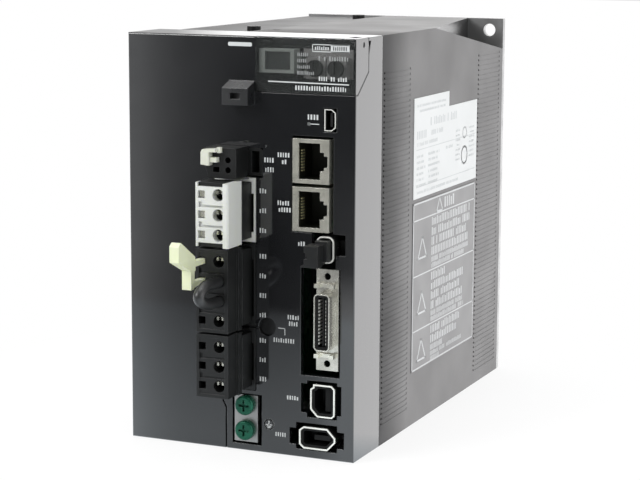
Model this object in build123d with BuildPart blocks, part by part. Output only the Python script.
"""Book-type AC servo drive: finned duct on the left, electronics on the right, connectors in front.

Frame: +Z up, front facing -Y, +X to the right seen from the front.  The origin lies in the rear
mounting face, at the middle of its width and height.  Depths are measured backwards from the front
panel and turned into Y by y_of().  Millimetres.
"""

from build123d import *
import math
import os

os.makedirs("parts", exist_ok=True)

# ---------------------------------------------------------------- driving dimensions
width = 89.0
height = 150.0
depth = 164.0
front_depth = 24.5  # length of the plastic front housing
plate_thickness = 2.5  # rear mounting plate
panel = 2.5  # thickness of the front panel
skin = 2.4  # side walls of the front housing
sheet = 1.0  # steel covers
seam = 0.1  # butt joint between neighbouring covers
board = 1.6  # circuit boards
fit = 0.2  # play between plugs and sockets

half_w = width / 2
half_h = height / 2
metal_start = front_depth + seam
metal_end = depth - plate_thickness

# mounting holes, one at the top right and one at the bottom left of the rear plate
mount_hole_r = 2.6
mount_x = 38.5
mount_z = 70.2

# finned duct
duct_wall_x = (-12.5, -8.5)
duct_left_x = -half_w + sheet + 0.2
duct_top_z = half_h - 2 * sheet
fin_pitch = 6.0
fin_thickness = 1.4
fan_size = 30.0
fan_height = 10.0
fan_depth = 90.0
fan_x = (duct_left_x + duct_wall_x[0]) / 2
fan_low_z = -duct_top_z + 0.1

# steel cover
cover_left_x = -9.0
taper_start = 79.0
taper_inner_x = 28.9
taper_low_z = 62.5

# circuit boards
power_board_x = (7.2, 7.2 + board)
control_board_x = (39.8, 39.8 + board)
post_rows = ((30.0, -40.0), (30.0, 52.0), (146.0, -40.0), (146.0, 52.0))
control_rows = ((36.0, -66.0), (36.0, 48.0), (74.0, -66.0), (74.0, 48.0))
screw_r = 1.5

# power terminals, one column of rows at a constant pitch
pitch = 7.1
group_gap = 2.2  # extra distance between two neighbouring terminal groups
first_row_z = 20.5
wire_x = 0.0
slot_x = (-7.9, -5.2)
pin_x = -1.5
header_x = (-9.6, 6.4)
header_wall = 1.4
header_depth = 16.0
plug_x = (-8.8, 4.5)
plug_front = -17.0
plug_shoulder = -7.5
wire_hole_r = 2.15
slot_half = 1.35
cheek = 1.2  # rim around the face of a plug
groove_depth = 0.8  # grooves between neighbouring rows

# auxiliary supply terminal
supply_z = (25.4, 36.2)
supply_front = -10.0
supply_rows = (32.0, 28.5)

# flip-up display cover
window_x = (6.4, half_w)
window_z = (55.7, half_h)
window_skin = 1.6
cheek_rear = 11.4
hinge_depth = 7.0
hinge_z = 72.6
pin_r = 0.9
pocket_floor = 9.5

# rotary switches behind the display cover
dial_x = (26.7, 34.6)
dial_z = 64.0
dial_r = 2.9

# right-hand connector column
jack_x = (20.9, 34.8)
jack_z = (32.0, 14.95)
jack_half = 7.85
signal_x = (30.2, 38.6)
signal_z = (-42.2, -5.8)
signal_pitch = 1.27
signal_positions = 13


# ---------------------------------------------------------------- small helpers
def y_of(d):
    """Y of a point lying d behind the front panel."""
    return d - depth


def block(x, d, z, mode=Mode.ADD):
    """Box from (low, high) pairs in x, depth and z."""
    with Locations(((x[0] + x[1]) / 2, y_of((d[0] + d[1]) / 2), (z[0] + z[1]) / 2)):
        Box(x[1] - x[0], d[1] - d[0], z[1] - z[0], mode=mode)


def rod_y(x, d, z, radius, mode=Mode.ADD):
    """Cylinder running front to back."""
    with Locations(Location((x, y_of((d[0] + d[1]) / 2), z), (90, 0, 0))):
        Cylinder(radius, d[1] - d[0], mode=mode)


def rod_x(x, d, z, radius, mode=Mode.ADD):
    """Cylinder running left to right."""
    with Locations(Location(((x[0] + x[1]) / 2, y_of(d), z), (0, 90, 0))):
        Cylinder(radius, x[1] - x[0], mode=mode)


def rod_z(x, d, z, radius, mode=Mode.ADD):
    """Cylinder running up and down."""
    with Locations((x, y_of(d), (z[0] + z[1]) / 2)):
        Cylinder(radius, z[1] - z[0], mode=mode)


def facing(d):
    """Sketch plane parallel to the front panel, normal towards the viewer."""
    return Plane(origin=(0, y_of(d), 0), x_dir=(1, 0, 0), z_dir=(0, -1, 0))


def side_profile(points, x, mode=Mode.ADD):
    """Prism between two x values from an outline of (depth, z) points."""
    with BuildSketch(Plane.YZ.offset(x[0])) as outline:
        with BuildLine():
            Polyline([(y_of(d), z) for d, z in points], close=True)
        make_face()
    extrude(outline.sketch, amount=x[1] - x[0], mode=mode)


def front_profile(points, d, mode=Mode.ADD):
    """Prism between two depths from an outline of (x, z) points."""
    with BuildSketch(facing(d[0])) as outline:
        with BuildLine():
            Polyline(list(points), close=True)
        make_face()
    extrude(outline.sketch, amount=-(d[1] - d[0]), mode=mode)


def group_rows(first, count):
    """Heights of the rows of a terminal group."""
    return [first - pitch * i for i in range(count)]


mains_rows = group_rows(first_row_z, 3)
regen_rows = group_rows(mains_rows[-1] - pitch - group_gap, 4)
motor_rows = group_rows(regen_rows[-1] - pitch - group_gap, 3)


def group_span(rows, margin):
    """Low and high z of a group with a margin beyond its outer half pitches."""
    return (rows[-1] - pitch / 2 - margin, rows[0] + pitch / 2 + margin)


# ---------------------------------------------------------------- rear plate
heat_sink_screws = ((-30.0, -50.0), (-14.0, -50.0), (-30.0, 50.0), (-14.0, 50.0))

with BuildPart() as base_plate:
    block((-half_w, half_w), (metal_end, depth), (-half_h, half_h))
    rod_y(mount_x, (metal_end - 1, depth + 1), mount_z, mount_hole_r, Mode.SUBTRACT)
    rod_y(-mount_x, (metal_end - 1, depth + 1), -mount_z, mount_hole_r, Mode.SUBTRACT)
    for x, z in heat_sink_screws:
        rod_y(x, (metal_end - 1, depth + 1), z, screw_r + 0.05, Mode.SUBTRACT)
        rod_y(x, (depth - 1.4, depth + 1), z, 3.1, Mode.SUBTRACT)
base_plate.part.label = "base_plate"
export_step(base_plate.part, "parts/base_plate.step")

with BuildPart() as base_screws:
    for x, z in heat_sink_screws:
        rod_y(x, (depth - 1.4, depth - 0.1), z, 2.9)
        rod_y(x, (metal_end - 4.5, depth - 1.4), z, screw_r)
        block((x - 1.6, x + 1.6), (depth - 0.7, depth), (z - 0.3, z + 0.3), Mode.SUBTRACT)
        block((x - 0.3, x + 0.3), (depth - 0.7, depth), (z - 1.6, z + 1.6), Mode.SUBTRACT)
base_screws.part.label = "base_screws"
export_step(base_screws.part, "parts/base_screws.step")

# ---------------------------------------------------------------- finned duct
lid_screws = ((-17.0, 48.0), (-16.0, 149.5))
foot_pocket = ((-half_w - 1, -31.0), (112.0, metal_end + 0.01), (-half_h - 1, -62.0))

with BuildPart() as heat_sink:
    block(duct_wall_x, (26.0, metal_end), (-duct_top_z, duct_top_z))
    block((duct_left_x, duct_wall_x[1]), (metal_end - 5, metal_end), (-duct_top_z, duct_top_z))
    fin_count = int((metal_end - 12 - 30.0) / fin_pitch) + 1
    for i in range(fin_count):
        start = 30.0 + i * fin_pitch
        block((duct_left_x, duct_wall_x[0]), (start, start + fin_thickness), (-60.0, duct_top_z))
    for x, d in lid_screws:
        block((x - 3.5, duct_wall_x[0]), (d - 4, d + 4), (50.0, duct_top_z))
    block(*foot_pocket, mode=Mode.SUBTRACT)
    for x, d in lid_screws:
        rod_z(x, d, (duct_top_z - 9, duct_top_z + 1), screw_r + 0.05, Mode.SUBTRACT)
    for x, z in heat_sink_screws:
        rod_y(x, (metal_end - 6, metal_end + 1), z, screw_r + 0.05, Mode.SUBTRACT)
heat_sink.part.label = "heat_sink"
export_step(heat_sink.part, "parts/heat_sink.step")

with BuildPart() as duct_cover:
    block((-half_w, -6.0), (metal_start, metal_end), (-half_h + sheet, half_h - sheet))
    block((-half_w + sheet, 0.0), (0.0, depth), (-duct_top_z, duct_top_z), Mode.SUBTRACT)
    block(*foot_pocket, mode=Mode.SUBTRACT)
    for x, d in lid_screws:
        rod_z(x, d, (duct_top_z - 1, half_h), screw_r + 0.1, Mode.SUBTRACT)
    # outlet slots high on the left wall
    for i in range(16):
        start = 34.0 + i * 7.2
        block((-half_w - 1, -half_w + 2), (start, start + 3.0), (28.0, 62.0), Mode.SUBTRACT)
    # inlet grille under the fan
    for i in range(-3, 4):
        reach = math.sqrt((fan_size / 2 - 2) ** 2 - (i * 3.6) ** 2)
        block(
            (fan_x + i * 3.6 - 1.1, fan_x + i * 3.6 + 1.1),
            (fan_depth - reach, fan_depth + reach),
            (-half_h, -duct_top_z + 1),
            Mode.SUBTRACT,
        )
duct_cover.part.label = "duct_cover"
export_step(duct_cover.part, "parts/duct_cover.step")

with BuildPart() as duct_screws:
    for x, d in lid_screws:
        lid_top = half_h - sheet
        rod_z(x, d, (lid_top, lid_top + 1.7), 2.6)
        rod_z(x, d, (lid_top - 7.0, lid_top), screw_r)
        block((x - 1.5, x + 1.5), (d - 0.35, d + 0.35), (lid_top + 0.9, lid_top + 2), Mode.SUBTRACT)
        block((x - 0.35, x + 0.35), (d - 1.5, d + 1.5), (lid_top + 0.9, lid_top + 2), Mode.SUBTRACT)
duct_screws.part.label = "duct_screws"
export_step(duct_screws.part, "parts/duct_screws.step")

# ---------------------------------------------------------------- fan in the duct
with BuildPart() as fan_frame:
    with Locations((fan_x, y_of(fan_depth), fan_low_z + fan_height / 2)):
        Box(fan_size, fan_size, fan_height)
        Cylinder(fan_size / 2 - 1, fan_height, mode=Mode.SUBTRACT)
    hub_z = (fan_low_z, fan_low_z + 1.4)
    rod_z(fan_x, fan_depth, hub_z, 6.5)
    for angle in (0, 90):
        with Locations(Location((fan_x, y_of(fan_depth), sum(hub_z) / 2), (0, 0, angle + 45))):
            Box(fan_size - 1.6, 1.6, hub_z[1] - hub_z[0])
    rod_z(fan_x, fan_depth, (hub_z[1], hub_z[1] + 5.0), 1.0)
    with Locations((fan_x, y_of(fan_depth), 0)):
        with GridLocations(fan_size - 6, fan_size - 6, 2, 2):
            with Locations((0, 0, fan_low_z + fan_height / 2)):
                Cylinder(1.6, fan_height + 1, mode=Mode.SUBTRACT)
fan_frame.part.label = "fan_frame"
export_step(fan_frame.part, "parts/fan_frame.step")

with BuildPart() as fan_rotor:
    rotor_z = (fan_low_z + 1.8, fan_low_z + fan_height - 0.6)
    rod_z(fan_x, fan_depth, rotor_z, 6.4)
    for i in range(7):
        with Locations(Location((fan_x, y_of(fan_depth), sum(rotor_z) / 2), (0, 0, i * 360 / 7))):
            with Locations(Location((9.6, 0, 0), (38, 0, 0))):
                Box(7.4, 0.9, 7.6)
    rod_z(fan_x, fan_depth, (rotor_z[0] - 1, rotor_z[0] + 6), 1.05, Mode.SUBTRACT)
fan_rotor.part.label = "fan_rotor"
export_step(fan_rotor.part, "parts/fan_rotor.step")


# ---------------------------------------------------------------- steel cover
def corner_wedge(inset):
    """Corner cut off at the top right rear, its two inner faces moved inwards by inset."""
    top = half_h + 5
    with BuildPart() as wedge:
        slope = (half_h - taper_low_z) / (metal_end - taper_start)
        low_start = half_h + slope * 5
        side_profile(
            (
                (taper_start - 5, low_start - inset),
                (depth + 5, low_start - slope * (depth + 10 - taper_start) - inset),
                (depth + 5, top),
                (taper_start - 5, top),
            ),
            (0, half_w + 5),
        )
        run = (half_w - taper_inner_x) / (metal_end - taper_start)
        with BuildSketch(Plane.XY):
            with BuildLine():
                Polyline(
                    [
                        (half_w + run * 5 - inset, y_of(taper_start - 5)),
                        (half_w + 20, y_of(taper_start - 5)),
                        (half_w + 20, y_of(depth + 5)),
                        (half_w - run * (depth + 5 - taper_start) - inset, y_of(depth + 5)),
                    ],
                    close=True,
                )
            make_face()
        extrude(amount=half_h + 10, mode=Mode.INTERSECT)
    return wedge


corner_outer = corner_wedge(0)
corner_inner = corner_wedge(sheet)

with BuildPart() as cover_core:
    block((cover_left_x - 1, half_w - sheet), (0, depth), (-half_h + sheet, half_h - sheet))
    add(corner_inner.part, mode=Mode.SUBTRACT)

slot_rise = 1.95  # pitch of the ventilation louvres


def louvres(start, end, count, top):
    """Shallow louvre grooves of one band, each with a through slit at its front end."""
    middle = (y_of((start + end) / 2), top - slot_rise * (count - 1) / 2)
    with BuildSketch(Plane.YZ.offset(half_w)) as grooves:
        with Locations(middle):
            with GridLocations(1, slot_rise, 1, count):
                Rectangle(end - start, 0.8)
    extrude(grooves.sketch, amount=-0.12, mode=Mode.SUBTRACT)
    with BuildSketch(Plane.YZ.offset(half_w)) as slits:
        with Locations((y_of(start + 0.7), middle[1])):
            with GridLocations(1, slot_rise, 1, count):
                Rectangle(1.4, 0.8)
    extrude(slits.sketch, amount=-sheet, mode=Mode.SUBTRACT)


with BuildPart() as side_cover:
    block((cover_left_x, half_w), (metal_start, metal_end), (-half_h, half_h))
    add(corner_outer.part, mode=Mode.SUBTRACT)
    add(cover_core.part, mode=Mode.SUBTRACT)
    fillet(side_cover.edges().filter_by(Axis.Y).group_by(Axis.Z)[-1].sort_by(Axis.X)[0], 0.8)
    louvres(26.2, 52.8, 67, 61.5)
    louvres(130.0, 157.5, 68, 61.5)
    # slot in the top next to the step between the two covers
    block((-5.6, -2.6), (39.4, 41.4), (half_h - 2, half_h + 1), Mode.SUBTRACT)
side_cover.part.label = "side_cover"
export_step(side_cover.part, "parts/side_cover.step")

# ---------------------------------------------------------------- front housing
terminal_opening = (group_span(motor_rows, 1.05)[0], group_span(mains_rows, 1.05)[1])
lamp_x = 10.9
lamp_z = -28.5
ground_x = (-2.2, 7.0)
ground_z = (-71.8, -54.4)

with BuildPart() as front_housing:
    block((-half_w, half_w), (0, front_depth), (-half_h, half_h))
    fillet(front_housing.faces().sort_by(Axis.Y)[0].edges(), 0.6)
    block(
        (-half_w + skin, half_w - skin),
        (panel, front_depth + 1),
        (-half_h + skin, half_h - skin),
        Mode.SUBTRACT,
    )
    # solid behind the display, hollowed out again below
    block((window_x[0] - 2.6, half_w - skin), (panel, 13.5), (53.0, half_h - skin))
    block((window_x[0] - 0.3, half_w + 1), (-1, 1.9), (window_z[0] - 0.3, half_h + 1), Mode.SUBTRACT)
    block((window_x[0] - 0.3, 42.4), (-1, pocket_floor), (57.0, half_h + 1), Mode.SUBTRACT)
    block((window_x[0] - 0.3, half_w + 1), (-1, cheek_rear + 0.3), (68.0, half_h + 1), Mode.SUBTRACT)
    side_profile(
        (
            (-1, window_z[0] - 0.3),
            (1.8, window_z[0] - 0.3),
            (cheek_rear + 0.3, 63.0),
            (cheek_rear + 0.3, half_h + 1),
            (-1, half_h + 1),
        ),
        (42.3, half_w + 1),
        Mode.SUBTRACT,
    )
    # widening gap behind the cheek of the cover, and the ear that carries the right hinge pin
    side_profile(
        ((cheek_rear, 67.5), (cheek_rear + 2.2, 73.8), (cheek_rear, 73.8)),
        (half_w - 1.4, half_w + 1),
        Mode.SUBTRACT,
    )
    block((39.6, 42.2), (hinge_depth - 1, cheek_rear + 0.5), (hinge_z - 1.4, hinge_z + 0.6))
    rod_x((39.0, 42.3), hinge_depth, hinge_z, pin_r + 0.02, Mode.SUBTRACT)
    rod_x((3.0, 6.3), hinge_depth, hinge_z, pin_r + 0.02, Mode.SUBTRACT)
    # openings for the terminals, the lamp and the earth bracket
    block((header_x[0] - fit, header_x[1] + fit), (-1, panel + 1), terminal_opening, Mode.SUBTRACT)
    block((-10.2, 9.2), (-1, panel + 1), (terminal_opening[1], 35.8), Mode.SUBTRACT)
    rod_y(lamp_x, (-1, panel + 1), lamp_z, 3.3, Mode.SUBTRACT)
    block((ground_x[0] - 0.7, ground_x[1] + 1.8), (-1, panel + 1), (-72.6, -53.9), Mode.SUBTRACT)
    # openings of the right-hand column
    block((32.5, 37.5), (-1, panel + 1), (42.5, 50.9), Mode.SUBTRACT)
    block((20.4, 36.4), (-1, panel + 1), (6.7, 40.8), Mode.SUBTRACT)
    block((28.2, 41.0), (-1, panel + 1), (-0.7, 6.7), Mode.SUBTRACT)
    block((28.2, 37.4), (-1, panel + 1), (-5.6, 6.7), Mode.SUBTRACT)
    block((24.1, 39.2), (-1, panel + 1), (-44.7, -5.6), Mode.SUBTRACT)
    block((26.6, 38.2), (-1, panel + 1), (-60.0, -46.5), Mode.SUBTRACT)
    block((24.2, 39.8), (-1, panel + 1), (-58.4, -47.7), Mode.SUBTRACT)
    block((22.3, 38.3), (-1, panel + 1), (-72.0, -62.2), Mode.SUBTRACT)
    block((19.8, 41.0), (-1, panel + 1), (-70.4, -64.4), Mode.SUBTRACT)
    # catch above the terminals
    side_profile(((0.5, 51.0), (-6.0, 51.0), (-6.0, 57.0), (0.5, 59.4)), (-3.9, 6.1))
    block((-0.7, 3.2), (-6.5, -3.5), (53.2, 55.4), Mode.SUBTRACT)
    # moulded groove at the lower left of the terminals
    front_profile(
        ((-5.75, -76), (-5.75, -59.7), (-7.1, -57.1), (-6.5, -56.8), (-5.15, -59.5), (-5.15, -76)),
        (-0.5, 1.2),
        Mode.SUBTRACT,
    )
front_housing.part.label = "front_housing"
export_step(front_housing.part, "parts/front_housing.step")

# ---------------------------------------------------------------- display and its flip-up cover
with BuildPart() as display_cover:
    block(window_x, (0, window_skin), window_z)
    block(window_x, (0, cheek_rear - 0.4), (half_h - window_skin, half_h))
    side_profile(
        (
            (0, window_z[0]),
            (window_skin, window_z[0]),
            (cheek_rear, 63.2),
            (cheek_rear, 72.2),
            (cheek_rear - 0.4, half_h),
            (0, half_h),
        ),
        (half_w - window_skin, half_w),
    )
    rod_x((window_x[0] + 0.2, 9.2), hinge_depth, hinge_z, 1.9)
    fillet(
        display_cover.edges().filter_by(Axis.X).group_by(Axis.Y)[0].sort_by(Axis.Z)[-1:], 0.5
    )
    block((39.3, 42.5), (hinge_depth - 1.8, 12), (half_h - 3, half_h + 1), Mode.SUBTRACT)
    rod_x((6, 10), hinge_depth, hinge_z, pin_r + 0.07, Mode.SUBTRACT)
    rod_x((42, 45), hinge_depth, hinge_z, pin_r + 0.07, Mode.SUBTRACT)
display_cover.part.label = "display_cover"
export_step(display_cover.part, "parts/display_cover.step")

with BuildPart() as cover_hinge_pins:
    rod_x((3.9, 9.1), hinge_depth, hinge_z, pin_r)
    rod_x((39.7, half_w - 0.2), hinge_depth, hinge_z, pin_r)
cover_hinge_pins.part.label = "cover_hinge_pins"
export_step(cover_hinge_pins.part, "parts/cover_hinge_pins.step")

# room behind the display for the rear of the cover as it swings up
hinge_sweep = ((6.0, 21.0), (6.8, 10.0), (68.0, 71.0))

with BuildPart() as display_bezel:
    block((6.7, 20.3), (2.1, pocket_floor), (62.2, 70.6))
    block((9.0, 18.8), (1, 10), (63.3, 69.7), Mode.SUBTRACT)
    block(*hinge_sweep, mode=Mode.SUBTRACT)
display_bezel.part.label = "display_bezel"
export_step(display_bezel.part, "parts/display_bezel.step")

with BuildPart() as digit_display:
    block((9.1, 18.7), (3.0, pocket_floor), (63.4, 69.6))
    block(*hinge_sweep, mode=Mode.SUBTRACT)
digit_display.part.label = "digit_display"
export_step(digit_display.part, "parts/digit_display.step")

with BuildPart() as status_lamps:
    for i in range(4):
        lamp_row = 67.3 - 1.9 * i
        block((20.9, 22.3), (8.3, pocket_floor), (lamp_row - 0.5, lamp_row + 0.5))
status_lamps.part.label = "status_lamps"
export_step(status_lamps.part, "parts/status_lamps.step")

with BuildPart() as switch_bases:
    for x in dial_x:
        block((x - 3.7, x + 3.7), (6.2, pocket_floor), (dial_z - 3.7, dial_z + 3.7))
        rod_y(x, (5, 8.2), dial_z, dial_r + 0.06, Mode.SUBTRACT)
switch_bases.part.label = "switch_bases"
export_step(switch_bases.part, "parts/switch_bases.step")


def switch_dial(x):
    """Dial of a rotary code switch, with a screwdriver slot and a pointer notch at the top."""
    with BuildPart() as dial:
        rod_y(x, (4.6, 8.15), dial_z, dial_r)
        block((x - 0.4, x + 0.4), (4, 5.5), (dial_z - 1.9, dial_z + 1.9), Mode.SUBTRACT)
        front_profile(
            ((x - 0.7, dial_z + 1.8), (x + 0.7, dial_z + 1.8), (x, dial_z + 2.7)),
            (4, 5.1),
            Mode.SUBTRACT,
        )
    return dial


dial_left = switch_dial(dial_x[0])
dial_left.part.label = "dial_left"
export_step(dial_left.part, "parts/dial_left.step")

dial_right = switch_dial(dial_x[1])
dial_right.part.label = "dial_right"
export_step(dial_right.part, "parts/dial_right.step")

# ---------------------------------------------------------------- electronics
with BuildPart() as power_board:
    block(power_board_x, (14.0, 152.0), (-70.0, 58.0))
    for d, z in post_rows + control_rows:
        rod_x((7, 9), d, z, screw_r + 0.05, Mode.SUBTRACT)
power_board.part.label = "power_board"
export_step(power_board.part, "parts/power_board.step")

with BuildPart() as control_board:
    block(control_board_x, (4.0, 80.0), (-70.0, 52.0))
    for d, z in control_rows:
        rod_x((39, 42), d, z, screw_r + 0.05, Mode.SUBTRACT)
control_board.part.label = "control_board"
export_step(control_board.part, "parts/control_board.step")

with BuildPart() as board_posts:
    for d, z in post_rows:
        rod_x((duct_wall_x[1], power_board_x[0]), d, z, 3.0)
        rod_x((power_board_x[0] - 6, power_board_x[0] + 1), d, z, screw_r + 0.05, Mode.SUBTRACT)
    for d, z in control_rows:
        rod_x((power_board_x[1], control_board_x[0]), d, z, 2.6)
        rod_x((power_board_x[1] - 1, power_board_x[1] + 6), d, z, screw_r + 0.05, Mode.SUBTRACT)
        rod_x((control_board_x[0] - 6, control_board_x[0] + 1), d, z, screw_r + 0.05, Mode.SUBTRACT)
board_posts.part.label = "board_posts"
export_step(board_posts.part, "parts/board_posts.step")

with BuildPart() as board_screws:
    for d, z in post_rows:
        rod_x((power_board_x[1], power_board_x[1] + 1.6), d, z, 2.6)
        rod_x((power_board_x[0] - 5, power_board_x[1]), d, z, screw_r)
    for d, z in control_rows:
        rod_x((control_board_x[1], control_board_x[1] + 1.6), d, z, 2.6)
        rod_x((control_board_x[0] - 5, control_board_x[1]), d, z, screw_r)
board_screws.part.label = "board_screws"
export_step(board_screws.part, "parts/board_screws.step")

with BuildPart() as dc_capacitors:
    for d in (98.0, 122.0):
        for z in (-38.0, -13.0, 12.0):
            rod_x((power_board_x[1], 38.0), d, z, 10.5)
            rod_x((12.4, 13.4), d, z, 12.0, Mode.SUBTRACT)
            rod_x((12.3, 13.5), d, z, 9.9)
dc_capacitors.part.label = "dc_capacitors"
export_step(dc_capacitors.part, "parts/dc_capacitors.step")

with BuildPart() as power_modules:
    block((duct_wall_x[1], -2.5), (58.0, 98.0), (-25.0, 35.0))
    block((duct_wall_x[1], -3.5), (108.0, 136.0), (-5.0, 25.0))
power_modules.part.label = "power_modules"
export_step(power_modules.part, "parts/power_modules.step")

with BuildPart() as regen_resistor:
    block((duct_wall_x[1], 3.0), (56.0, 136.0), (-58.0, -44.0))
    block((duct_wall_x[1], -6.5), (50.0, 142.0), (-56.0, -46.0))
regen_resistor.part.label = "regen_resistor"
export_step(regen_resistor.part, "parts/regen_resistor.step")

with BuildPart() as filter_choke:
    rod_x((power_board_x[1], 18.0), 96.0, 43.0, 11.0)
    rod_x((power_board_x[1] - 1, 19.0), 96.0, 43.0, 5.0, Mode.SUBTRACT)
filter_choke.part.label = "filter_choke"
export_step(filter_choke.part, "parts/filter_choke.step")

with BuildPart() as supply_transformer:
    block((power_board_x[1], 28.0), (44.0, 66.0), (-30.0, -4.0))
    block((power_board_x[1] + 4, 24.0), (42.0, 68.0), (-26.0, -8.0))
supply_transformer.part.label = "supply_transformer"
export_step(supply_transformer.part, "parts/supply_transformer.step")

with BuildPart() as control_chips:
    block((control_board_x[0] - 1.4, control_board_x[0]), (40.0, 60.0), (6.0, 26.0))
    block((control_board_x[0] - 1.4, control_board_x[0]), (44.0, 58.0), (-22.0, -8.0))
    block((control_board_x[0] - 1.4, control_board_x[0]), (44.0, 54.0), (-44.0, -34.0))
control_chips.part.label = "control_chips"
export_step(control_chips.part, "parts/control_chips.step")

# ---------------------------------------------------------------- right-hand sockets
usb_x = (32.9, 37.1)
usb_z = (42.9, 50.5)

usb_slant = 1.2  # how far the two right corners of the mouth are cut back
usb_mouth = (
    (usb_x[0], usb_z[0]),
    (usb_x[1] - 1.5, usb_z[0]),
    (usb_x[1], usb_z[0] + usb_slant),
    (usb_x[1], usb_z[1] - usb_slant),
    (usb_x[1] - 1.5, usb_z[1]),
    (usb_x[0], usb_z[1]),
)

with BuildPart() as usb_socket:
    front_profile(usb_mouth, (-0.2, 9.0))
    block((usb_x[1], control_board_x[0]), (4.0, 9.0), (usb_z[0] + 1.5, usb_z[1] - 1.5))
    with BuildSketch(facing(-1)) as usb_inside:
        with BuildLine():
            Polyline(list(usb_mouth), close=True)
        make_face()
        offset(amount=-0.3, kind=Kind.INTERSECTION, mode=Mode.REPLACE)
    extrude(usb_inside.sketch, amount=-8.4, mode=Mode.SUBTRACT)
    block((34.7, 35.6), (1.0, 8.0), (usb_z[0] + 1.4, usb_z[1] - 1.4))
usb_socket.part.label = "usb_socket"
export_step(usb_socket.part, "parts/usb_socket.step")


def jack_opening(z):
    """Outline of the jack's mouth, stepped on the right where the cable's latch goes."""
    right = ((31.4, 6.4), (31.4, 3.3), (32.9, 3.3), (32.9, 2.0), (34.2, 2.0))
    upper = [(23.2, z + 6.4)] + [(x, z + h) for x, h in right]
    lower = [(x, z - h) for x, h in reversed(right)] + [(23.2, z - 6.4)]
    return upper + lower


with BuildPart() as jack_shields:
    for z in jack_z:
        block(jack_x, (-0.4, 13.5), (z - jack_half, z + jack_half))
        block(
            (jack_x[0] + 0.3, jack_x[1] - 0.3),
            (0.3, 14.0),
            (z - jack_half + 0.3, z + jack_half - 0.3),
            Mode.SUBTRACT,
        )
        front_profile(jack_opening(z), (-1, 1), Mode.SUBTRACT)
jack_shields.part.label = "jack_shields"
export_step(jack_shields.part, "parts/jack_shields.step")

with BuildPart() as jack_inserts:
    for z in jack_z:
        block(
            (jack_x[0] + 0.35, jack_x[1] - 0.35),
            (0.35, 13.4),
            (z - jack_half + 0.35, z + jack_half - 0.35),
        )
        block((jack_x[0] + 0.35, control_board_x[0]), (13.6, 17.0), (z - 6.0, z + 6.0))
        block((jack_x[0] + 1, jack_x[1] - 1), (13.0, 14.0), (z - 6.0, z + 6.0))
        front_profile(jack_opening(z), (-1, 11.5), Mode.SUBTRACT)
        for i in range(8):
            row = z + (i - 3.5) * 1.02
            block((23.0, 24.4), (0.5, 3.5), (row - 0.25, row + 0.25), Mode.SUBTRACT)
jack_inserts.part.label = "jack_inserts"
export_step(jack_inserts.part, "parts/jack_inserts.step")

signal_mid_x = sum(signal_x) / 2
signal_mid_z = sum(signal_z) / 2
shell_half_x = 3.0
shell_half_z = 10.2
shell_front = -5.5

with BuildPart() as signal_plate:
    block(signal_x, (-0.2, 0.8), signal_z)
    with BuildSketch(facing(shell_front)):
        with Locations((signal_mid_x, signal_mid_z)):
            RectangleRounded(2 * shell_half_x, 2 * shell_half_z, 1.6)
    extrude(amount=-(0.8 - shell_front))
    with BuildSketch(facing(shell_front - 0.1)):
        with Locations((signal_mid_x, signal_mid_z)):
            RectangleRounded(2 * shell_half_x - 0.8, 2 * shell_half_z - 0.8, 1.2)
    extrude(amount=-(1.0 - shell_front), mode=Mode.SUBTRACT)
    for side in (-1, 1):
        rod_y(signal_mid_x, (-1, 2), signal_mid_z + side * 15.7, 1.25, Mode.SUBTRACT)
signal_plate.part.label = "signal_plate"
export_step(signal_plate.part, "parts/signal_plate.step")

with BuildPart() as signal_insert:
    with BuildSketch(facing(shell_front + 0.6)):
        with Locations((signal_mid_x, signal_mid_z)):
            RectangleRounded(2 * shell_half_x - 0.9, 2 * shell_half_z - 0.9, 1.15)
    extrude(amount=-(0.85 - shell_front - 0.6))
    block((signal_x[0] + 1, signal_x[1] - 0.5), (0.85, 8.0), (-38.5, -9.5))
    block((signal_x[1] - 0.5, control_board_x[0]), (4.0, 8.0), (-38.5, -9.5))
    # slot around the central tongue
    block(
        (signal_mid_x - 1.5, signal_mid_x + 1.5),
        (-6, 3.0),
        (signal_mid_z - 8.8, signal_mid_z + 8.8),
        Mode.SUBTRACT,
    )
    block((signal_mid_x - 0.1, signal_mid_x + 0.6), (-4.4, 3.5), (signal_mid_z - 8.4, signal_mid_z + 8.4))
signal_insert.part.label = "signal_insert"
export_step(signal_insert.part, "parts/signal_insert.step")

with BuildPart() as signal_latches:
    for side in (-1, 1):
        z = signal_mid_z + side * 12.6
        block((signal_x[0] + 0.4, signal_x[1] - 0.6), (-1.3, -0.2), (z - 0.7, z + 0.7))
        for x in (signal_x[0] + 1.2, signal_x[1] - 1.4):
            block((x - 0.8, x + 0.8), (-3.4, -1.3), (z - 0.7, z + 0.7))
signal_latches.part.label = "signal_latches"
export_step(signal_latches.part, "parts/signal_latches.step")

with BuildPart() as connector_contacts:
    for z in jack_z:
        for i in range(8):
            row = z + (i - 3.5) * 1.02
            block((23.4, 23.9), (1.2, 3.5), (row - 0.18, row + 0.18))
    for i in range(signal_positions):
        row = signal_mid_z + (i - (signal_positions - 1) / 2) * signal_pitch
        for x in (signal_mid_x - 1.5, signal_mid_x + 1.2):
            block((x, x + 0.3), (-4.6, 2.9), (row - 0.32, row + 0.32))
connector_contacts.part.label = "connector_contacts"
export_step(connector_contacts.part, "parts/connector_contacts.step")

ring_x = (30.6, 37.2)
ring_z = (-3.5, 6.0)
ring_mid = (sum(ring_x) / 2, sum(ring_z) / 2)

with BuildPart() as safety_ring:
    with BuildSketch(facing(-1.4)):
        with Locations(ring_mid):
            RectangleRounded(ring_x[1] - ring_x[0], ring_z[1] - ring_z[0], 2.2)
            RectangleRounded(
                ring_x[1] - ring_x[0] - 1, ring_z[1] - ring_z[0] - 1, 1.7, mode=Mode.SUBTRACT
            )
    extrude(amount=-11.0)
safety_ring.part.label = "safety_ring"
export_step(safety_ring.part, "parts/safety_ring.step")

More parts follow.
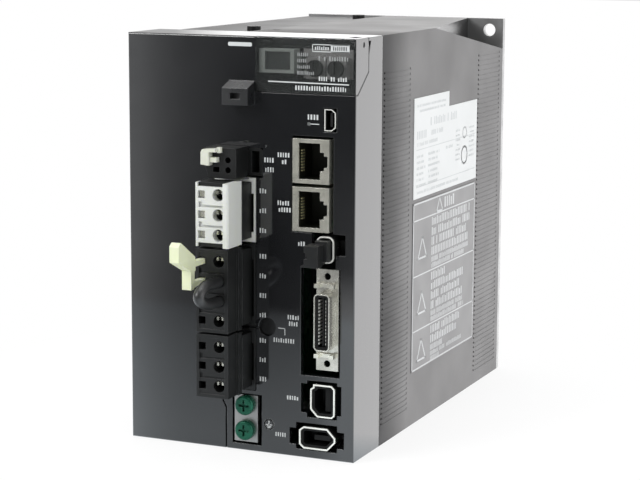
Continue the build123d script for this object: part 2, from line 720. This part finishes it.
with BuildPart() as safety_plug:
    block((29.3, 34.5), (-9.5, -2.6), (-3.4, 3.6))
    block((31.6, 36.2), (-5.0, 4.0), (-2.4, 4.8))
    block((28.1, 34.5), (-9.5, -5.0), (-4.0, -3.4))
    block((29.0, 30.6), (-10, -8.0), (-1.1, 1.2), Mode.SUBTRACT)
safety_plug.part.label = "safety_plug"
export_step(safety_plug.part, "parts/safety_plug.step")

# outlines of the two cable sockets at the bottom of the column
shell_floor = 8.5
scale_wall = 0.5
encoder_wall = 0.55
scale_outline = (
    (28.3, -49.2),
    (29.4, -48.6),
    (29.4, -47.5),
    (36.4, -47.5),
    (37.7, -48.7),
    (37.7, -58.3),
    (36.6, -59.4),
    (31.0, -59.4),
    (29.4, -57.8),
    (28.3, -56.6),
)
encoder_outline = (
    (24.0, -64.6),
    (25.7, -63.3),
    (34.9, -63.3),
    (38.0, -66.5),
    (38.0, -68.2),
    (34.9, -71.4),
    (25.7, -71.4),
    (24.0, -69.9),
)


def socket_shell(outline, wall):
    """Drawn steel shell of a cable socket, closed behind."""
    with BuildPart() as shell:
        front_profile(outline, (-1.0, shell_floor + 0.5))
        with BuildSketch(facing(-1.1)):
            with BuildLine():
                Polyline(list(outline), close=True)
            make_face()
            offset(amount=-wall, kind=Kind.INTERSECTION, mode=Mode.REPLACE)
        extrude(amount=-(shell_floor + 1.1), mode=Mode.SUBTRACT)
    return shell


scale_shell = socket_shell(scale_outline, scale_wall)
scale_shell.part.label = "scale_shell"
export_step(scale_shell.part, "parts/scale_shell.step")

encoder_shell = socket_shell(encoder_outline, encoder_wall)
encoder_shell.part.label = "encoder_shell"
export_step(encoder_shell.part, "parts/encoder_shell.step")


def socket_liner(outline, wall):
    """Moulded liner just inside the shell of a cable socket."""
    with BuildPart() as liner:
        for start, end, inset, mode in (
            (-0.4, shell_floor, wall + 0.05, Mode.ADD),
            (-1.0, shell_floor - 1.5, wall + 0.95, Mode.SUBTRACT),
        ):
            with BuildSketch(facing(start)):
                with BuildLine():
                    Polyline(list(outline), close=True)
                make_face()
                offset(amount=-inset, kind=Kind.INTERSECTION, mode=Mode.REPLACE)
            extrude(amount=start - end, mode=mode)
    return liner


scale_liner = socket_liner(scale_outline, scale_wall)
encoder_liner = socket_liner(encoder_outline, encoder_wall)

with BuildPart() as socket_inserts:
    add(scale_liner.part)
    add(encoder_liner.part)
    # tongues of the two cable sockets and the core of the safety socket
    block((33.4, 35.4), (1.0, shell_floor), (-57.4, -49.4))
    block((29.2, 35.4), (1.0, shell_floor), (-68.2, -66.4))
    block((31.7, 36.2), (6.0, 9.6), (-2.4, 4.8))
    # feet that carry the shells on the control board
    block((37.7, control_board_x[0]), (5.0, 9.0), (-58.0, -49.0))
    block((38.0, control_board_x[0]), (5.0, 9.0), (-68.0, -66.6))
    block((ring_x[1], control_board_x[0]), (5.0, 9.6), (-2.0, 4.0))
socket_inserts.part.label = "socket_inserts"
export_step(socket_inserts.part, "parts/socket_inserts.step")


# ---------------------------------------------------------------- power terminals
def terminal_header(rows):
    """Open box of a header, with one hole per contact pin in its back wall."""
    low, high = group_span(rows, 0.85)
    with BuildPart() as header:
        block(header_x, (-0.4, header_depth), (low, high))
        block(
            (header_x[0] + header_wall, header_x[1] - header_wall),
            (-1, 9.2),
            (low + header_wall, high - header_wall),
            Mode.SUBTRACT,
        )
        # right wall thinned from inside between its two corner blocks
        block(
            (header_x[1] - header_wall - 0.1, header_x[1] - 0.6),
            (-1, 9.2),
            (low + 3.6, high - 5.6),
            Mode.SUBTRACT,
        )
        # rim of the top wall set back on both sides of a small tab
        for x in ((header_x[0] - 1, -6.3), (-3.5, 4.0)):
            block(x, (-1, 2), (high - 0.5, high + 1), Mode.SUBTRACT)
        for z in rows:
            rod_y(pin_x, (9, 17), z, 0.82, Mode.SUBTRACT)
    return header


groove_x = (-7.6, 2.3)
finger_front = -15.3  # front ends of the clamp fingers


def plug_cavities(rows):
    """Wire entries, lever slots and contact chambers of a plug."""
    for z in rows:
        rod_y(wire_x, (plug_front - 3, -9), z, wire_hole_r, Mode.SUBTRACT)
        block(slot_x, (plug_front - 3, -9), (z - slot_half, z + slot_half), Mode.SUBTRACT)
        block((-3.4, 2.3), (-9.1, -1.0), (z - 2.9, z + 2.9), Mode.SUBTRACT)
        rod_y(pin_x, (-1.1, 5.2), z, 1.65, Mode.SUBTRACT)
        rod_y(pin_x, (5.0, 9.5), z, 1.1, Mode.SUBTRACT)


def row_grooves(rows):
    """L-shaped groove in the plug's face between neighbouring rows."""
    for z in rows[:-1]:
        middle = z - pitch / 2
        for x, span in (
            ((groove_x[0], groove_x[1]), (middle - 0.9, middle - 0.1)),
            ((groove_x[0], groove_x[0] + 1.4), (middle - 0.9, middle + 1.0)),
        ):
            block(x, (plug_front - 1, plug_front + groove_depth), span, Mode.SUBTRACT)


def terminal_plug(rows):
    """Plug body: tongue in the header, wider front part, face sunk within a rim."""
    low, high = group_span(rows, 0.7)
    with BuildPart() as plug:
        block((plug_x[0], plug_x[1] - 0.8), (plug_front, plug_shoulder), (low, high))
        block((plug_x[0], plug_x[1]), (plug_shoulder - 2.5, plug_shoulder), (low, high))
        block(
            (header_x[0] + header_wall + fit, header_x[1] - header_wall - fit),
            (plug_shoulder, 8.8),
            (low - 0.15 + header_wall + fit, high + 0.15 - header_wall - fit),
        )
        block(
            (plug_x[0] + cheek, groove_x[1]),
            (plug_front - 1, plug_front + 0.25),
            (low + cheek, high - cheek),
            Mode.SUBTRACT,
        )
        row_grooves(rows)
        plug_cavities(rows)
    return plug


def plug_contacts(rows, free_rows):
    """Clamp cage and pin sleeve of every row, with two clamp fingers where no wire is fitted."""
    with BuildPart() as contacts:
        for z in rows:
            block((-3.2, 2.1), (-8.8, -1.2), (z - 2.7, z + 2.7))
            block((-2.7, 1.6), (-9, -2.0), (z - 2.2, z + 2.2), Mode.SUBTRACT)
            block((-0.4, 0.4), (-8.8, -2.0), (z - 2.2, z + 2.2))
            rod_y(pin_x, (-1.3, 5.0), z, 1.5)
            rod_y(pin_x, (-2.1, 6.0), z, 0.95, Mode.SUBTRACT)
        for z in free_rows:
            block((-1.5, -0.75), (finger_front, -1.9), (z + 0.1, z + 1.35))
            block((0.4, 1.1), (finger_front, -1.9), (z + 0.1, z + 1.35))
    return contacts


mains_header = terminal_header(mains_rows)
mains_header.part.label = "mains_header"
export_step(mains_header.part, "parts/mains_header.step")

regen_header = terminal_header(regen_rows)
motor_header = terminal_header(motor_rows)
with BuildPart() as power_headers:
    add(regen_header.part)
    add(motor_header.part)
power_headers.part.label = "power_headers"
export_step(power_headers.part, "parts/power_headers.step")

with BuildPart() as header_pins:
    for z in mains_rows + regen_rows + motor_rows:
        rod_y(pin_x, (0.0, 18.6), z, 0.8)
        block((pin_x - 0.8, power_board_x[0]), (17.2, 18.6), (z - 0.7, z + 0.7))
header_pins.part.label = "header_pins"
export_step(header_pins.part, "parts/header_pins.step")

# white face and right-hand flange of the mains plug
face_right = 2.4
face_back = -14.0
face_margin = 1.4
face_low, face_high = group_span(mains_rows, 0.7)

with BuildPart() as face_space:
    block(
        (plug_x[0] - 1, face_right + 0.02),
        (plug_front - 2, face_back),
        (face_low + face_margin - 0.05, face_high - face_margin + 0.05),
    )
    block((plug_x[0] - 1, plug_x[0] + 0.85), (plug_front - 2, face_back), (face_low - 1, face_high + 1))
    block((face_right, plug_x[1] + 1), (plug_front - 2, plug_shoulder), (face_low - 1, face_high + 1))

with BuildPart() as mains_face:
    block(
        (plug_x[0], face_right + 1),
        (plug_front, face_back),
        (face_low + face_margin, face_high - face_margin),
    )
    block((plug_x[0], plug_x[0] + 0.8), (plug_front, face_back), (face_low, face_high))
    block((face_right + 0.02, plug_x[1]), (-18.4, plug_shoulder), (face_low, face_high))
    row_grooves(mains_rows)
    for z in mains_rows:
        rod_y(wire_x, (-20, -13), z, wire_hole_r, Mode.SUBTRACT)
        block(slot_x, (-20, -13), (z - slot_half, z + slot_half), Mode.SUBTRACT)
    chamfer(mains_face.edges().filter_by(Axis.Z).group_by(Axis.Y)[0].sort_by(Axis.X)[-1:], 0.5)
mains_face.part.label = "mains_face"
export_step(mains_face.part, "parts/mains_face.step")

with BuildPart() as mains_plug:
    block((plug_x[0], plug_x[1]), (plug_front + 0.8, plug_shoulder), (face_low, face_high))
    block(
        (header_x[0] + header_wall + fit, header_x[1] - header_wall - fit),
        (plug_shoulder, 8.8),
        (face_low - 0.15 + header_wall + fit, face_high + 0.15 - header_wall - fit),
    )
    add(face_space.part, mode=Mode.SUBTRACT)
    plug_cavities(mains_rows)
    # room for the release tongues and for the arms that join them to the cages
    for z in mains_rows:
        block(slot_x, (-9.5, -8.0), (z - slot_half, z + slot_half), Mode.SUBTRACT)
        block((slot_x[1] - 0.5, -3.0), (-9.1, -8.0), (z - 0.8, z + 0.8), Mode.SUBTRACT)
mains_plug.part.label = "mains_plug"
export_step(mains_plug.part, "parts/mains_plug.step")

mains_clamps = plug_contacts(mains_rows, mains_rows)
with BuildPart() as mains_contacts:
    add(mains_clamps.part)
    for z in mains_rows:
        block((slot_x[0] + fit, slot_x[1] - fit), (-15.6, -8.3), (z - 1.1, z + 1.1))
        block((slot_x[1] - 2 * fit, -3.1), (-8.7, -8.3), (z - 0.6, z + 0.6))
mains_contacts.part.label = "mains_contacts"
export_step(mains_contacts.part, "parts/mains_contacts.step")

regen_plug = terminal_plug(regen_rows)
regen_plug.part.label = "regen_plug"
export_step(regen_plug.part, "parts/regen_plug.step")

regen_contacts = plug_contacts(regen_rows, (regen_rows[0], regen_rows[3]))
regen_contacts.part.label = "regen_contacts"
export_step(regen_contacts.part, "parts/regen_contacts.step")

motor_plug = terminal_plug(motor_rows)
motor_plug.part.label = "motor_plug"
export_step(motor_plug.part, "parts/motor_plug.step")

motor_contacts = plug_contacts(motor_rows, motor_rows)
motor_contacts.part.label = "motor_contacts"
export_step(motor_contacts.part, "parts/motor_contacts.step")

# insulated link between the second and third regeneration terminals
link_r = 2.05
link_rows = (regen_rows[1], regen_rows[2])
link_start = plug_front + 0.2
link_tip = (-31.9, sum(link_rows) / 2 + 0.6)
link_path = (
    (link_start, link_rows[0]),
    (-21.5, link_rows[0]),
    (-28.2, link_tip[1] + 2.7),
    link_tip,
    (-28.2, link_tip[1] - 2.7),
    (-21.5, link_rows[1] + 0.2),
    (link_start, link_rows[1]),
)

with BuildPart() as jumper_wire:
    with BuildLine(Plane.YZ):
        Spline(*[(y_of(d), z) for d, z in link_path], tangents=((-1, 0), (1, 0)))
    with BuildSketch(Plane(origin=(0, y_of(link_start), link_rows[0]), z_dir=(0, -1, 0))):
        Circle(link_r)
    sweep()
    for z in link_rows:
        rod_y(wire_x, (plug_front - 0.5, -9.5), z, 1.2)
jumper_wire.part.label = "jumper_wire"
export_step(jumper_wire.part, "parts/jumper_wire.step")

# lever that opens the clamps, hooked into the two upper slots of the regeneration plug
lever_x = (-8.9, -5.3)
prong_x = (slot_x[0] + fit, slot_x[1] - fit)

with BuildPart() as opening_lever:
    side_profile(
        (
            (-36.5, 4.9),
            (-36.5, -0.8),
            (-27.4, -5.0),
            (-27.4, -11.8),
            (-25.2, -11.8),
            (-24.6, -5.4),
            (-24.0, -5.2),
            (-24.2, -0.4),
            (-34.8, 6.0),
        ),
        lever_x,
    )
    fillet(opening_lever.edges().filter_by(Axis.X).group_by(Axis.Y)[0], 0.6)
    side_profile(((-24.6, -2.2), (-24.6, -4.0), (-13.0, -4.0), (-13.0, -2.2)), prong_x)
    side_profile(((-25.4, -9.3), (-25.2, -11.4), (-17.6, -10.4), (-13.5, -10.4), (-13.5, -9.3)), prong_x)
opening_lever.part.label = "opening_lever"
export_step(opening_lever.part, "parts/opening_lever.step")

# ---------------------------------------------------------------- auxiliary supply terminal
with BuildPart() as supply_header:
    front_profile(
        ((-10.0, 25.7), (9.1, 25.7), (9.1, 34.7), (8.1, 35.6), (-10.0, 35.6)),
        (0.3, 11.5),
    )
    block((-7.4, 3.7), (-1, 8.2), (26.8, 34.5), Mode.SUBTRACT)
    block((4.8, 7.8), (-1, 6.0), (26.8, 34.5), Mode.SUBTRACT)
    for z in supply_rows:
        rod_y(pin_x, (8, 12), z - 0.2, 0.52, Mode.SUBTRACT)
supply_header.part.label = "supply_header"
export_step(supply_header.part, "parts/supply_header.step")

with BuildPart() as supply_plug:
    front_profile(
        ((-8.8, supply_z[1]), (-8.8, 30.0), (-7.1, supply_z[0]), (3.6, supply_z[0]), (3.6, supply_z[1])),
        (supply_front, -0.5),
    )
    block((-7.2, 3.5), (-0.5, 8.0), (27.0, 34.3))
    for z in supply_rows:
        rod_y(0.4, (supply_front - 1, -2), z, 1.1, Mode.SUBTRACT)
        block((-5.4, -2.9), (supply_front - 1, -4), (z - 0.95, z + 0.95), Mode.SUBTRACT)
        rod_y(pin_x, (0, 9), z - 0.2, 0.75, Mode.SUBTRACT)
supply_plug.part.label = "supply_plug"
export_step(supply_plug.part, "parts/supply_plug.step")

with BuildPart() as supply_opener:
    # grip, middle arm with the finger in the slot, and upper arm that runs back along the plug's face
    front_profile(
        ((-8.8, 30.4), (-8.8, 34.9), (-8.2, 35.8), (-3.0, 36.3), (-3.0, 34.9), (-5.6, 34.9), (-5.6, 30.1)),
        (-13.0, supply_front - 0.1),
    )
    block((-5.7, -2.9), (-12.4, supply_front - 0.1), (31.3, 33.0))
    block((-5.2, -3.1), (supply_front - 0.1, -6.0), (31.3, 32.8))
    block((-3.1, -1.7), (-11.6, supply_front - 0.1), (34.6, 36.6))
supply_opener.part.label = "supply_opener"
export_step(supply_opener.part, "parts/supply_opener.step")

# ---------------------------------------------------------------- earth terminal and charge lamp
ground_screw_x = 2.6
ground_screw_z = (-57.9, -67.2)
ground_screw_r = 2.0

with BuildPart() as ground_bracket:
    block(ground_x, (0.3, 2.3), ground_z)
    block((ground_x[0], ground_x[0] + 1.5), (2.3, 40.0), ground_z)
    block((duct_wall_x[1], ground_x[0]), (38.5, 40.0), ground_z)
    for z in ground_screw_z:
        rod_y(ground_screw_x, (-1, 3), z, ground_screw_r + 0.05, Mode.SUBTRACT)
ground_bracket.part.label = "ground_bracket"
export_step(ground_bracket.part, "parts/ground_bracket.step")

with BuildPart() as ground_screws:
    for z in ground_screw_z:
        rod_y(ground_screw_x, (-2.4, 0.3), z, 3.65)
    fillet(ground_screws.edges().group_by(Axis.Y)[0], 0.9)
    for z in ground_screw_z:
        rod_y(ground_screw_x, (0.3, 8.0), z, ground_screw_r)
        for reach, half in ((2.1, 0.45), (0.45, 2.1)):
            block(
                (ground_screw_x - reach, ground_screw_x + reach),
                (-3, -1.1),
                (z - half, z + half),
                Mode.SUBTRACT,
            )
ground_screws.part.label = "ground_screws"
export_step(ground_screws.part, "parts/ground_screws.step")

with BuildPart() as charge_lamp:
    rod_y(lamp_x, (1.0, 4.0), lamp_z, 3.2)
    rod_y(lamp_x, (4.0, 13.5), lamp_z, 2.0)
    block((power_board_x[0], power_board_x[1]), (12.0, 13.9), (lamp_z - 1.5, lamp_z + 1.5))
    block((power_board_x[1], lamp_x), (12.0, 13.5), (lamp_z - 1.5, lamp_z + 1.5))
charge_lamp.part.label = "charge_lamp"
export_step(charge_lamp.part, "parts/charge_lamp.step")

# ---------------------------------------------------------------- labels on the right side
label_thickness = 0.2

with BuildPart() as rating_label:
    side_profile(
        ((57, 49.9), (95.3, 49.9), (95.3, 44.0), (128.8, 44.0), (128.8, 11.9), (57, 11.9)),
        (half_w, half_w + label_thickness),
    )
rating_label.part.label = "rating_label"
export_step(rating_label.part, "parts/rating_label.step")

with BuildPart() as notice_label:
    block((half_w, half_w + label_thickness), (57.0, 128.2), (-54.6, 10.4))
notice_label.part.label = "notice_label"
export_step(notice_label.part, "parts/notice_label.step")
